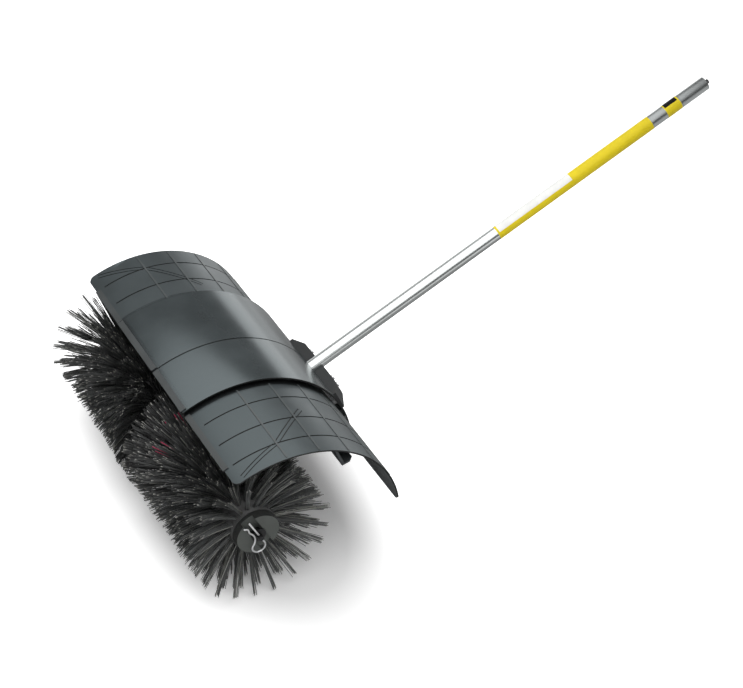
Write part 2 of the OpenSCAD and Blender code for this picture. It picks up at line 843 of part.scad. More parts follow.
// Wheel tooth flanks: thickness at a radius, narrowing outwards
wheel_tip_r = wheel_r + gear_m;
wheel_root_r = wheel_r - tooth_root;
tooth_half = lead / 4 - flank_play / 2;
tip_half = tooth_half - gear_m * tan(flank_angle);
root_half = tooth_half + tooth_root * tan(flank_angle);
wheel_pts = [for (i = [0 : wheel_teeth - 1]) for (p = [[wheel_root_r, -root_half], [wheel_r, -tooth_half],
    [wheel_tip_r, -tip_half], [wheel_tip_r, tip_half], [wheel_r, tooth_half], [wheel_root_r, root_half]])
    let (a = 360 * i / wheel_teeth + atan(p[1] / p[0])) [p[0] * cos(a), p[0] * sin(a)]];
rim_twist = rim_w * tan(lead_angle) / wheel_r * 180 / PI;

module wheel_rim() {
    color(bronze) at_tilt() difference() {
        rotate([90, 0, 90]) rotate([0, 0, 180 / wheel_teeth - 90 - rim_twist / 2])
            linear_extrude(rim_w, center = true, twist = -rim_twist, slices = 4) polygon(wheel_pts);
        rotate([-tube_tilt, 0, 0]) bar_x(-rim_w, rim_w, rim_seat_d / 2, 12);
    }
}

module wheel_key() {
    color(bright_steel) at_axle() translate([-hub_len / 2, -key_w / 2, axle_d / 2 - key_w / 2])
        cube([hub_len, key_w, key_w]);
}

module hub_circlips() {
    color(bright_steel) at_axle() for (sx = [-1, 1]) translate([sx * (hub_len / 2 + circlip_t / 2), 0, 0])
        ring_x(-circlip_t / 2, circlip_t / 2, axle_d / 2 - circlip_t, axle_d / 2 + 2 * circlip_t);
}

module drum_core() {
    at_axle() difference() {
        union() {
            ring_x(drum_inner_x, core_end, core_r - core_wall, core_r);
            bar_x(drum_inner_x, drum_inner_x + 2 * core_wall, core_r - core_wall / 2);
            bar_x(collar_end, hex_end, core_hub_r);
        }
        hex_x(collar_end - over, hex_end + over, drive_hex);
    }
}

module drum_core_left() {
    color(grey_plastic) drum_core();
}

module drum_core_right() {
    color(grey_plastic) right_side() drum_core();
}

module drum_cap() {
    difference() {
        at_axle() union() {
            bar_x(core_end, drum_outer_x, core_r);
            bar_x(core_end - cap_spigot, core_end + over, core_r - core_wall);
        }
        at_axle() bar_x(0, stub_end, axle_drum_d / 2);
        at_axle() ring_x(core_end - cap_spigot - over, core_end - over, axle_drum_d / 2 + spigot_wall,
            core_r - core_wall - spigot_wall);
        at_clip() translate([-clip_out - channel_t, -core_d, -channel_w / 2])
            cube([channel_t + clip_out, 2 * core_d, channel_w]);
    }
}

module drum_cap_left() {
    color(grey_plastic) drum_cap();
}

module drum_cap_right() {
    color(grey_plastic) right_side() drum_cap();
}

module end_washers() {
    color(bright_steel) at_axle() {
        ring_x(drum_outer_x, drum_outer_x + washer_t, axle_stub_d / 2, washer_d / 2);
        ring_x(-drum_outer_x - washer_t, -drum_outer_x, axle_stub_d / 2, washer_d / 2);
    }
}

// Bristles: a backing ring whose checkered cells rise into tapered tufts
edge_share = 0.5;
function row_x(i) = row_first + i * row_step;
root_xs = [for (i = [0 : tuft_rows - 1]) for (s = [-1, 1]) row_x(i) + s * tuft_root / 2];
line_xs = concat([drum_inner_x], root_xs, [core_end]);
lines = len(line_xs);
function ring_pt(x, r, k) = [x, r * cos(k * cell_angle), r * sin(k * cell_angle)];
skin_r = backing_r / cos(cell_angle / 2);
bore_r = core_r / cos(cell_angle / 2);
skin_pts = [for (x = line_xs) for (k = [0 : cells - 1]) ring_pt(x, skin_r, k - edge_share)];
bore_pts = [for (x = [drum_inner_x, core_end]) for (k = [0 : cells - 1]) ring_pt(x, bore_r, k - edge_share)];
bore0 = len(skin_pts);
tuft_list = [for (i = [0 : tuft_rows - 1]) for (j = [0 : tufts_round - 1]) [i, 2 * j + i % 2]];
tuft0 = bore0 + len(bore_pts);
function lean(i) = -lean_in + (lean_in + lean_out) * i / (tuft_rows - 1);
function tip_pt(i, k, sx, st) = let (a = k * cell_angle, x = row_x(i) + lean(i) + sx * tuft_tip / 2)
    [x, brush_r * cos(a) - st * tuft_tip / 2 * sin(a), brush_r * sin(a) + st * tuft_tip / 2 * cos(a)];
tip_signs = [[-1, -1], [1, -1], [1, 1], [-1, 1]];
tuft_pts = [for (t = tuft_list) for (c = tip_signs) tip_pt(t[0], t[1], c[0], c[1])];
function sk(l, k) = l * cells + k % cells;
function has_tuft(l, k) = l % 2 == 1 && l < lines - 1 && ((l - 1) / 2) % 2 == k % 2;
skin_faces = [for (l = [0 : lines - 2]) for (k = [0 : cells - 1]) if (!has_tuft(l, k))
    for (f = [[sk(l, k), sk(l + 1, k + 1), sk(l + 1, k)], [sk(l, k), sk(l, k + 1), sk(l + 1, k + 1)]]) f];
function bo(e, k) = bore0 + e * cells + k % cells;
bore_faces = [for (k = [0 : cells - 1]) for (f = [
    [bo(0, k), bo(1, k), bo(1, k + 1)], [bo(0, k), bo(1, k + 1), bo(0, k + 1)],
    [sk(0, k), bo(0, k), bo(0, k + 1)], [sk(0, k), bo(0, k + 1), sk(0, k + 1)],
    [sk(lines - 1, k), bo(1, k + 1), bo(1, k)], [sk(lines - 1, k), sk(lines - 1, k + 1), bo(1, k + 1)]]) f];
tuft_faces = [for (n = [0 : len(tuft_list) - 1]) let (l = 2 * tuft_list[n][0] + 1, k = tuft_list[n][1],
    b = [sk(l, k), sk(l + 1, k), sk(l + 1, k + 1), sk(l, k + 1)], t = tuft0 + 4 * n)
    for (e = [0 : 4]) for (f = e == 4 ? [[t, t + 2, t + 1], [t, t + 3, t + 2]] :
    [[b[e], t + e, b[(e + 1) % 4]], [t + e, t + (e + 1) % 4, b[(e + 1) % 4]]]) f];

module bristle_ring() {
    pts = concat(skin_pts, bore_pts, tuft_pts);
    polyhedron(points = pts, faces = concat(skin_faces, bore_faces, tuft_faces));
}

module bristles_left() {
    color(bristle_black) at_axle() bristle_ring();
}

module bristles_right() {
    color(bristle_black) at_axle() right_side() bristle_ring();
}

// Spring clips
neck_turn = 60;
bulge_turn = 20;
loop_turn = 90 + neck_turn;
flare_turn = 40;
bend_step = 12;

function turned(c, r, a) = [c[0] + r * cos(a), c[1] + r * sin(a)];
loop_c = [clip_loop_len, loop_r];
neck_p = turned(loop_c, loop_r, loop_turn);
neck_c = turned(neck_p, neck_r, loop_turn);
bulge_p = turned(neck_c, neck_r, -90 - bulge_turn);
bulge_c = turned(bulge_p, bulge_r, -90 - bulge_turn);
nose_p = turned(bulge_c, bulge_r, 90 + bulge_turn);
nose_c = turned(nose_p, nose_r, 90 + bulge_turn);
flare_p = turned(nose_c, nose_r, -90 - flare_turn);

flare_end = flare_p + flare_len * [-cos(flare_turn), sin(flare_turn)];

// Points of the bent wire's line in the clip plane, from the straight leg's tip to the flared end
function bend(c, r, a0, a1) = let (n = ceil(abs(a1 - a0) / bend_step))
    [for (i = [0 : n]) turned(c, r, a0 + (a1 - a0) * i / n)];
function tail(pts) = [for (i = [1 : len(pts) - 1]) pts[i]];
wire_pts = concat([[-clip_tip_len, 0]], bend(loop_c, loop_r, -90, loop_turn),
    tail(bend(neck_c, neck_r, loop_turn - 180, -90 - bulge_turn)),
    tail(bend(bulge_c, bulge_r, 90 - bulge_turn, 90 + bulge_turn)),
    tail(bend(nose_c, nose_r, bulge_turn - 90, -90 - flare_turn)), [flare_end]);
wire_last = len(wire_pts) - 1;
function unit(v) = v / norm(v);
function heading(i) = unit(wire_pts[min(i + 1, wire_last)] - wire_pts[max(i - 1, 0)]);
function wire_pt(i, k) = let (p = wire_pts[i], h = heading(i), a = k * 360 / fn_wire)
    [wire_r * sin(a), p[0] - wire_r * cos(a) * h[1], -p[1] - wire_r * cos(a) * h[0]];
function wi(i, k) = i * fn_wire + k % fn_wire;
wire_faces = concat(
    [for (i = [0 : wire_last - 1]) for (k = [0 : fn_wire - 1])
        for (f = [[wi(i, k), wi(i, k + 1), wi(i + 1, k + 1)], [wi(i, k), wi(i + 1, k + 1), wi(i + 1, k)]]) f],
    [for (k = [1 : fn_wire - 2]) [wi(0, 0), wi(0, k + 1), wi(0, k)]],
    [for (k = [1 : fn_wire - 2]) [wi(wire_last, 0), wi(wire_last, k), wi(wire_last, k + 1)]]);

module clip() {
    pts = [for (i = [0 : wire_last]) for (k = [0 : fn_wire - 1]) wire_pt(i, k)];
    at_clip() polyhedron(points = pts, faces = wire_faces);
}

module clip_left() {
    color(bright_steel) clip();
}

module clip_right() {
    color(bright_steel) right_side() clip();
}

// Drive line
module worm_shaft() {
    color(bright_steel) at_tube() difference() {
        union() {
            bar_y(-worm_bearing_y - worm_bearing_w, shaft_end, journal_d / 2);
            hex_y(-worm_bearing_y + over, worm_bearing_y - over, worm_hex);
        }
        square_y(shaft_front, shaft_end + over, shaft_sq);
    }
}

// Worm section: thread flanks wrapped round the shaft by the lead
worm_tip_r = worm_r + gear_m;
worm_root_r = worm_r - tooth_root;
thread_half = lead / 4 - flank_play / 2;
thread_tip = thread_half - gear_m * tan(flank_angle);
thread_root = thread_half + tooth_root * tan(flank_angle);
thread_steps = 3;
root_turn = 360 * thread_root / lead;
function polar(r, a) = [r * cos(a), r * sin(a)];
function flank_pt(s, side) = let (h = thread_root + (thread_tip - thread_root) * s)
    polar(worm_root_r + (worm_tip_r - worm_root_r) * s, side * 360 * h / lead);
worm_pts = concat(
    [for (i = [0 : thread_steps]) flank_pt(i / thread_steps, -1)],
    [polar(worm_tip_r, 0)],
    [for (i = [0 : thread_steps]) flank_pt(1 - i / thread_steps, 1)],
    [for (i = [1, 2]) polar(worm_root_r, root_turn + (360 - 2 * root_turn) * i / 3)]);
worm_turns = worm_len / lead;

module worm() {
    color(bright_steel) at_tube() difference() {
        rotate([-90, 0, 0]) rotate([0, 0, -90 - 180 * worm_turns])
            linear_extrude(worm_len, center = true, twist = -360 * worm_turns,
            slices = round(12 * worm_turns)) polygon(worm_pts);
        hex_y(-worm_len, worm_len, worm_hex);
    }
}

module drive_shaft() {
    color(bright_steel) at_tube() {
        square_y(shaft_front, shaft_end + over, shaft_sq);
        bar_y(shaft_end, tube_reach - tip_sq_len, shaft_d / 2);
        square_y(tube_reach - tip_sq_len - over, tip_y, shaft_sq);
    }
}

drive_tube();
tube_bushes();
long_film();
short_film();
gearbox_housing();
gearbox_cover();
cover_screws_set();
end_cap();
end_cap_screws();
clamp_screws();
filler_plug();
worm_bearing_front();
worm_bearing_rear();
worm_seal();
axle_bearing_left();
axle_bearing_right();
axle_seal_left();
axle_seal_right();
hood_panel();
hood_wing_left();
hood_wing_right();
hood_screws();
wing_rail_left();
wing_rail_right();
hood_bracket();
hood_plate();
bracket_screws();
brush_axle();
wheel_hub();
wheel_rim();
wheel_key();
hub_circlips();
drum_core_left();
drum_core_right();
drum_cap_left();
drum_cap_right();
bristles_left();
bristles_right();
end_washers();
clip_left();
clip_right();
worm_shaft();
worm();
drive_shaft();
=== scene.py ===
import bpy
import json
import math
import random
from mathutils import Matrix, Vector


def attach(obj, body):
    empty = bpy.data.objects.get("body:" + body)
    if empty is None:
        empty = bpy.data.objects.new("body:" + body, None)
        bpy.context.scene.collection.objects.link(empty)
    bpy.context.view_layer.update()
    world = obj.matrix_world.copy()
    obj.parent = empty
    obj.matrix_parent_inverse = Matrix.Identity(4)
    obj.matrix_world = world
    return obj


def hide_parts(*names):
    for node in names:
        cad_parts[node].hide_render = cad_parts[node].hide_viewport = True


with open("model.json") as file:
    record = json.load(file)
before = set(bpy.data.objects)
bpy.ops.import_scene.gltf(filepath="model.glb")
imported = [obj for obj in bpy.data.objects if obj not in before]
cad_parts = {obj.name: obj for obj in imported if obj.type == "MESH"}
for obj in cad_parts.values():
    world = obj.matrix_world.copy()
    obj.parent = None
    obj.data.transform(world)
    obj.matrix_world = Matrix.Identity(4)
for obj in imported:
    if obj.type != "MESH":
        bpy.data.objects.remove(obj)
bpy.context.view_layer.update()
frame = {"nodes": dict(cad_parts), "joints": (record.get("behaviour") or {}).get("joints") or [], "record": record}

# Sizes in metres, in the frame of the part
MM = 0.001
X_AXIS = Vector((1, 0, 0))
record = frame["record"]
joints = {j["name"]: j for j in frame["joints"]}
axle = Vector(joints["brush_spin"]["pos_m"])
tube_foot = Vector(joints["drive_spin"]["pos_m"])
tube_dir = Vector(joints["drive_spin"]["axis"]).normalized()
clip_dir = Vector(joints["clip_left_pull"]["axis"]).normalized()

# Materials. Most values of a noise texture lie between NOISE_LOW and NOISE_HIGH
NOISE_DETAIL = 4.0
NOISE_ROUGHNESS = 0.55
NOISE_LOW = 0.3
NOISE_HIGH = 0.7
NEAR_BLACK = (0.004, 0.004, 0.004)


def new_material(name):
    """An empty node material and its Principled shader."""
    mat = bpy.data.materials.new(name)
    mat.use_nodes = True
    return mat, mat.node_tree, mat.node_tree.nodes["Principled BSDF"]


def object_coords(tree):
    """Object coordinates in metres."""
    return tree.nodes.new("ShaderNodeTexCoord").outputs["Object"]


def uv_coords(tree, stretch):
    """UV coordinates, stretched."""
    coords = tree.nodes.new("ShaderNodeUVMap")
    mapping = tree.nodes.new("ShaderNodeMapping")
    mapping.inputs["Scale"].default_value = stretch
    tree.links.new(coords.outputs["UV"], mapping.inputs["Vector"])
    return mapping.outputs["Vector"]


def object_xyz(tree):
    """Object coordinates in metres, one by one."""
    node = tree.nodes.new("ShaderNodeSeparateXYZ")
    tree.links.new(object_coords(tree), node.inputs["Vector"])
    return node.outputs


def noise(tree, coords, scale, detail=NOISE_DETAIL):
    """A noise texture's factor."""
    node = tree.nodes.new("ShaderNodeTexNoise")
    node.inputs["Scale"].default_value = scale
    node.inputs["Detail"].default_value = detail
    node.inputs["Roughness"].default_value = NOISE_ROUGHNESS
    tree.links.new(coords, node.inputs["Vector"])
    return node.outputs["Fac"]


def number(tree, operation, first, second):
    """A math node fed by links or numbers."""
    node = tree.nodes.new("ShaderNodeMath")
    node.operation = operation
    for socket, value in zip(node.inputs, (first, second)):
        if isinstance(value, (int, float)):
            socket.default_value = value
        else:
            tree.links.new(value, socket)
    return node.outputs[0]


def slope(tree, value, low, high, start, end):
    """A clamped slope from start to end between low and high."""
    node = tree.nodes.new("ShaderNodeMapRange")
    node.inputs["From Min"].default_value = low
    node.inputs["From Max"].default_value = high
    node.inputs["To Min"].default_value = start
    node.inputs["To Max"].default_value = end
    tree.links.new(value, node.inputs["Value"])
    return node.outputs["Result"]


def tint(tree, factor, dark, light):
    """A colour between dark and light by a noise factor."""
    ramp = tree.nodes.new("ShaderNodeValToRGB")
    ramp.color_ramp.elements[0].position = NOISE_LOW
    ramp.color_ramp.elements[0].color = (*dark, 1)
    ramp.color_ramp.elements[1].position = NOISE_HIGH
    ramp.color_ramp.elements[1].color = (*light, 1)
    tree.links.new(factor, ramp.inputs["Fac"])
    return ramp.outputs["Color"]


def roughen(tree, shader, factor, low, high):
    """Lets the shader's roughness vary between low and high by a noise factor."""
    result = slope(tree, factor, NOISE_LOW, NOISE_HIGH, low, high)
    tree.links.new(result, shader.inputs["Roughness"])


def bump(tree, shader, height, distance, strength):
    """Fine relief on the shader's normal."""
    node = tree.nodes.new("ShaderNodeBump")
    node.inputs["Distance"].default_value = distance
    node.inputs["Strength"].default_value = strength
    tree.links.new(height, node.inputs["Height"])
    tree.links.new(node.outputs["Normal"], shader.inputs["Normal"])


def blacken(tree, shader, factor):
    """Turns the shader's colour to black by the factor."""
    mix = tree.nodes.new("ShaderNodeMix")
    mix.data_type = "RGBA"
    mix.inputs["B"].default_value = (*NEAR_BLACK, 1)
    tree.links.new(factor, mix.inputs["Factor"])
    tree.links.new(shader.inputs["Base Color"].links[0].from_socket, mix.inputs["A"])
    tree.links.new(mix.outputs["Result"], shader.inputs["Base Color"])


def shaded(colour, share):
    """A colour scaled by a share."""
    return tuple(min(1.0, c * share) for c in colour)


def paint(tree, shader, factor, colour, tones):
    """Lets the shader's colour vary between two shares of a colour by a noise factor."""
    result = tint(tree, factor, shaded(colour, tones[0]), shaded(colour, tones[1]))
    tree.links.new(result, shader.inputs["Base Color"])


PLASTIC_SCALE = 14.0
PLASTIC_TONES = (0.88, 1.12)
PLASTIC_ROUGH = (0.85, 1.15)
PLASTIC_GRAIN_DETAIL = 2.0
PLASTIC_STRENGTH = 0.5


def plastic(name, colour, rough, grain=900.0, relief=0.05 * MM, gloss=0.5, sheen=(1, 1, 1)):
    """Moulded plastic with a fine grain, soft mottling and uneven gloss."""
    mat, tree, shader = new_material(name)
    coords = object_coords(tree)
    broad = noise(tree, coords, PLASTIC_SCALE)
    fine = noise(tree, coords, grain, PLASTIC_GRAIN_DETAIL)
    paint(tree, shader, broad, colour, PLASTIC_TONES)
    roughen(tree, shader, broad, rough * PLASTIC_ROUGH[0], rough * PLASTIC_ROUGH[1])
    shader.inputs["Specular IOR Level"].default_value = gloss
    shader.inputs["Specular Tint"].default_value = (*sheen, 1)
    bump(tree, shader, fine, relief, PLASTIC_STRENGTH)
    return mat


METAL_SCALE = 9.0
METAL_TONES = (0.9, 1.06)
METAL_ROUGH = (0.7, 1.35)
METAL_GRAIN_DETAIL = 3.0
METAL_STRENGTH = 0.3


def metal(name, colour, rough, grain=220.0, relief=0.02 * MM, uv_stretch=None):
    """Bare or plated metal with a machined grain, which follows the UV map where a stretch is given."""
    mat, tree, shader = new_material(name)
    coords = uv_coords(tree, uv_stretch) if uv_stretch else object_coords(tree)
    lines = noise(tree, coords, grain, METAL_GRAIN_DETAIL)
    broad = noise(tree, object_coords(tree), METAL_SCALE)
    paint(tree, shader, broad, colour, METAL_TONES)
    roughen(tree, shader, lines, rough * METAL_ROUGH[0], rough * METAL_ROUGH[1])
    shader.inputs["Metallic"].default_value = 1.0
    bump(tree, shader, lines, relief, METAL_STRENGTH)
    return mat


STREAK_SCALE = 260.0
STREAK_SHARE = 0.6
STREAK_DARK = (0.5, 0.5, 0.5)
STREAK_LIGHT = (1, 1, 1)
BRISTLE_ROUGH = (0.34, 0.5)
BRISTLE_GLOSS = 0.5


def bristle_material():
    """Nylon filaments whose tone and colour vary from strand to strand; the tone also carries painted shade and
    highlights.
    """
    mat, tree, shader = new_material("bristle_filaments")
    tone = tree.nodes.new("ShaderNodeAttribute")
    tone.attribute_name = "tone"
    streak = noise(tree, object_coords(tree), STREAK_SCALE)
    mix = tree.nodes.new("ShaderNodeMix")
    mix.data_type = "RGBA"
    mix.blend_type = "MULTIPLY"
    mix.inputs["Factor"].default_value = STREAK_SHARE
    tree.links.new(tone.outputs["Color"], mix.inputs["A"])
    tree.links.new(tint(tree, streak, STREAK_DARK, STREAK_LIGHT), mix.inputs["B"])
    tree.links.new(mix.outputs["Result"], shader.inputs["Base Color"])
    roughen(tree, shader, streak, *BRISTLE_ROUGH)
    shader.inputs["Specular IOR Level"].default_value = BRISTLE_GLOSS
    return mat


RIPPLE_SCALE = 60.0
RIPPLE_DETAIL = 2.0
RIPPLE_RELIEF = 0.1 * MM
RIPPLE_STRENGTH = 0.25
FILM_TONES = (0.94, 1.03)
FILM_ROUGH = (0.30, 0.42)


def film_material(name, colour, gloss):
    """Printed film: glossy, with faint ripples where it wraps the tube."""
    mat, tree, shader = new_material(name)
    ripple = noise(tree, object_coords(tree), RIPPLE_SCALE, RIPPLE_DETAIL)
    paint(tree, shader, ripple, colour, FILM_TONES)
    roughen(tree, shader, ripple, *FILM_ROUGH)
    shader.inputs["Specular IOR Level"].default_value = gloss
    bump(tree, shader, ripple, RIPPLE_RELIEF, RIPPLE_STRENGTH)
    return mat


def paint_seam_shade(mat, start, end):
    """Paints shade on a plastic where the panel's edge shades it: black from x = start to x = end, and on beyond
    the end.
    """
    tree = mat.node_tree
    factor = slope(tree, object_xyz(tree)["X"], start, end, 0.0, 1.0)
    blacken(tree, tree.nodes["Principled BSDF"], factor)


def paint_lip_shade(mat, centre, start, end, share):
    """Paints shade on a plastic along the foot of the hood's front lip, by the angle about the hood's axis."""
    tree = mat.node_tree
    place = object_xyz(tree)
    height = number(tree, "SUBTRACT", place["Z"], centre.z)
    depth = number(tree, "SUBTRACT", place["Y"], centre.y)
    factor = slope(tree, number(tree, "ARCTAN2", height, depth), start, end, 0.0, share)
    blacken(tree, tree.nodes["Principled BSDF"], factor)


# One material for each slot of the record
HOOD_GREY = (0.036, 0.042, 0.044)
HOOD_SHEEN = (0.80, 0.96, 1.0)
TUBE_GRAIN = {"grain": 4.0, "uv_stretch": (3, 240, 1)}
materials = {
    "tube_aluminium": metal("tube_aluminium", colour=(0.62, 0.645, 0.64), rough=0.22, **TUBE_GRAIN),
    "film": film_material("film_yellow", colour=(0.78, 0.62, 0.02), gloss=0.15),
    "bush_bronze": metal("bush_bronze", colour=(0.66, 0.46, 0.2), rough=0.35),
    "cast_aluminium": metal(
        "cast_aluminium", colour=(0.10, 0.10, 0.105), rough=0.58, grain=420.0, relief=0.2 * MM
    ),
    "zinc_steel": metal("zinc_steel", colour=(0.66, 0.67, 0.68), rough=0.34),
    "bearing_steel": metal("bearing_steel", colour=(0.70, 0.71, 0.72), rough=0.22),
    "seal_rubber": plastic("seal_rubber", colour=(0.022, 0.022, 0.023), rough=0.7, grain=700.0),
    "hood_plastic": plastic(
        "hood_wing_plastic", colour=HOOD_GREY, rough=0.46, grain=1400.0, relief=0.09 * MM
    ),
    "bracket_plastic": plastic("bracket_plastic", colour=(0.017, 0.019, 0.020), rough=0.5),
    "axle_steel": metal("axle_steel", colour=(0.07, 0.07, 0.072), rough=0.42, grain=300.0),
    "drum_plastic": plastic(
        "drum_plastic", colour=(0.088, 0.097, 0.089), rough=0.5, grain=800.0, relief=0.1 * MM
    ),
    "bristle": bristle_material(),
    "clip_steel": metal("clip_steel", colour=(0.92, 0.93, 0.94), rough=0.4),
}
tube_end_metal = metal("tube_end_aluminium", colour=(0.30, 0.315, 0.315), rough=0.3, **TUBE_GRAIN)
label_white = film_material("film_white", colour=(0.86, 0.86, 0.84), gloss=0.3)
label_black = film_material("film_black", colour=(0.006, 0.006, 0.005), gloss=0.1)

# The hood's panel and wings are glossier, with painted shade where a seam or the lip's foot lies in shadow
WING_LOOK = {"rough": 0.36, "grain": 1400.0, "relief": 0.05 * MM, "gloss": 0.8, "sheen": HOOD_SHEEN}
PANEL_LOOK = {"rough": 0.18, "grain": 1200.0, "relief": 0.02 * MM, "gloss": 0.9, "sheen": HOOD_SHEEN}
PANEL_LEFT_X = 110 * MM
PANEL_RIGHT_X = -155 * MM
LEFT_SEAM_SHADE = (6.0 * MM, 7.0 * MM)
RIGHT_SEAM_SHADE = (13.0 * MM, 14.0 * MM)
HOOD_BACK = 45.4 * MM
HOOD_DROP = 55 * MM
LIP_FOOT = (math.radians(109.8), math.radians(111.6))
LIP_SHADE_SHARE = 0.6
hood_centre = axle + Vector((0, HOOD_BACK, -HOOD_DROP))
panel_plastic = plastic("hood_panel_plastic", HOOD_GREY, **PANEL_LOOK)
left_wing_plastic = plastic("hood_left_wing_plastic", HOOD_GREY, **WING_LOOK)
right_wing_plastic = plastic("hood_right_wing_plastic", HOOD_GREY, **WING_LOOK)
# Painted shade along the foot of the panel's front lip
paint_lip_shade(panel_plastic, hood_centre, *LIP_FOOT, LIP_SHADE_SHARE)
# Painted shade on each wing beside the panel's edge, where the panel shades it
paint_seam_shade(left_wing_plastic, PANEL_LEFT_X + LEFT_SEAM_SHADE[1], PANEL_LEFT_X + LEFT_SEAM_SHADE[0])
paint_seam_shade(right_wing_plastic, PANEL_RIGHT_X - RIGHT_SEAM_SHADE[1], PANEL_RIGHT_X - RIGHT_SEAM_SHADE[0])

for row in record["subparts"]:
    node = frame["nodes"][row["node"]]
    node.data.materials.clear()
    node.data.materials.append(materials[row["material_slot"]])
frame["nodes"]["hood_panel"].data.materials[0] = panel_plastic
frame["nodes"]["hood_wing_left"].data.materials[0] = left_wing_plastic
frame["nodes"]["hood_wing_right"].data.materials[0] = right_wing_plastic
for name in ("end_washers", "drive_shaft"):
    frame["nodes"][name].data.materials[0] = materials["axle_steel"]

# Mould lines, ridges and edges of the hood take their own colour by their height above the sheet: painted shade in
# grooves and on edges, painted highlights on ridges and the lip
HOOD_R = 216.5 * MM
HOOD_STEP = 9.5 * MM
HOOD_T = 3 * MM
LINE_DEPTH = 0.4 * MM
RIDGE_TOP = 1.2 * MM
CAP_SIDE_R = 36 * MM
SIDE_TILT = 0.5
groove_shade_black = plastic("hood_groove_shade_plastic", colour=(0.006, 0.007, 0.007), rough=0.6)
ridge_highlight_plastic = plastic("hood_ridge_highlight_plastic", colour=(0.062, 0.071, 0.073), rough=0.4)
lip_highlight_plastic = plastic("hood_lip_highlight_plastic", colour=(0.060, 0.067, 0.068), rough=0.42)
cap_side_shade_plastic = plastic("cap_side_shade_plastic", colour=(0.032, 0.034, 0.032), rough=0.6)


def add_material(mesh, mat):
    """Adds a material to a mesh and gives its place in the list."""
    mesh.materials.append(mat)
    return len(mesh.materials) - 1


def paint_hood_shade_and_highlight(name, radius):
    """Painted shade in grooves and on edges, painted highlights on ridges and lip."""
    mesh = frame["nodes"][name].data
    groove_index = add_material(mesh, groove_shade_black)
    ridge_index = add_material(mesh, ridge_highlight_plastic)
    lip_index = add_material(mesh, lip_highlight_plastic)
    for poly in mesh.polygons:
        offsets = [mesh.vertices[index].co - hood_centre for index in poly.vertices]
        heights = [math.hypot(offset.y, offset.z) - radius for offset in offsets]
        groove = -HOOD_T + LINE_DEPTH < min(heights) < -LINE_DEPTH
        edge = min(heights) < -HOOD_T + LINE_DEPTH and max(heights) > -LINE_DEPTH
        if groove or edge:
            poly.material_index = groove_index
        elif LINE_DEPTH < max(heights) < RIDGE_TOP:
            poly.material_index = ridge_index
        elif max(heights) > RIDGE_TOP:
            poly.material_index = lip_index


def paint_cap_shade(name):
    """Painted shade on the side of a drum's end cap, down among the bristles."""
    mesh = frame["nodes"][name].data
    side_index = add_material(mesh, cap_side_shade_plastic)
    for poly in mesh.polygons:
        offset = poly.center - axle
        if abs(poly.normal.x) < SIDE_TILT and math.hypot(offset.y, offset.z) > CAP_SIDE_R:
            poly.material_index = side_index


paint_hood_shade_and_highlight("hood_panel", HOOD_R + HOOD_STEP)
paint_hood_shade_and_highlight("hood_wing_left", HOOD_R)
paint_hood_shade_and_highlight("hood_wing_right", HOOD_R)
paint_cap_shade("drum_cap_left")
paint_cap_shade("drum_cap_right")


# Pieces
def piece(name, verts, faces, body, mats, replaced):
    """A smooth mesh piece that rides on a body and stands for CAD nodes."""
    mesh = bpy.data.meshes.new(name)
    mesh.from_pydata(verts, [], faces)
    mesh.update()
    mesh.shade_smooth()
    for mat in mats:
        mesh.materials.append(mat)
    obj = bpy.data.objects.new(name, mesh)
    bpy.context.scene.collection.objects.link(obj)
    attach(obj, body)
    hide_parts(*replaced)
    return obj


# Bristles: bundles of filaments on the drum, in the rows of the drum's tufts
BRUSH_R = 129.4 * MM
BACKING_R = 41.5 * MM
CORE_R = 39 * MM
ROOT_LIFT = 1 * MM
DRUM_INNER_X = 50 * MM
CORE_END_X = 271 * MM
TUFT_ROWS = 12
TUFTS_ROUND = 20
ROW_INSET = 8.75 * MM
LEAN_IN = 44 * MM
LEAN_OUT = 41 * MM
SEEDS = {1: 7, -1: 11}

# Filaments of a tuft. END values hold in the drum's outer row and fade out over END_ROWS rows, and INNER
# values hold towards the gearbox
FILAMENTS = 20
END_FILAMENTS = 12
FILAMENT_R = 1.0 * MM
END_FILAMENT_R = 0.8 * MM
THICKNESS_SHARES = (0.8, 1.15)
TAPER = 0.25
ROOT_SPREAD = 3.5 * MM
TIP_SPREAD = 11.0 * MM
ROUND_SPREAD = 17.0 * MM
END_TIP_SPREAD = 5.5 * MM
END_ROWS = 3
STRAY_SHARE = 0.12
STRAY_SPREAD = 20.0 * MM
STRAND_SHAKE = 1.5 * MM
TUFT_WANDER = 6.0 * MM
END_WANDER = 2.5 * MM
TUFT_REACH = (0.97, 1.0)
SHORTEST_SHARE = 0.9
END_SHORTEST_SHARE = 0.95
INNER_SHORTEST_SHARE = 0.985
BOW = 1.2 * MM
RING_AT = (0.0, 0.35, 0.65, 0.94, 1.0)
CURVE_SHARE = 0.25
INNER_CURVE_SHARE = 0.9
SIDES = 3

# Tips stay inside the drum's end. By the middle they stay clear of the tube's socket, and those shorter than
# SOCKET_R stay farther off
END_X = 303.2 * MM
INNER_X = (17.5 * MM, 20.0 * MM)
SHORT_INNER_X = (22.0 * MM, 25.0 * MM)
SOCKET_R = 127.2 * MM

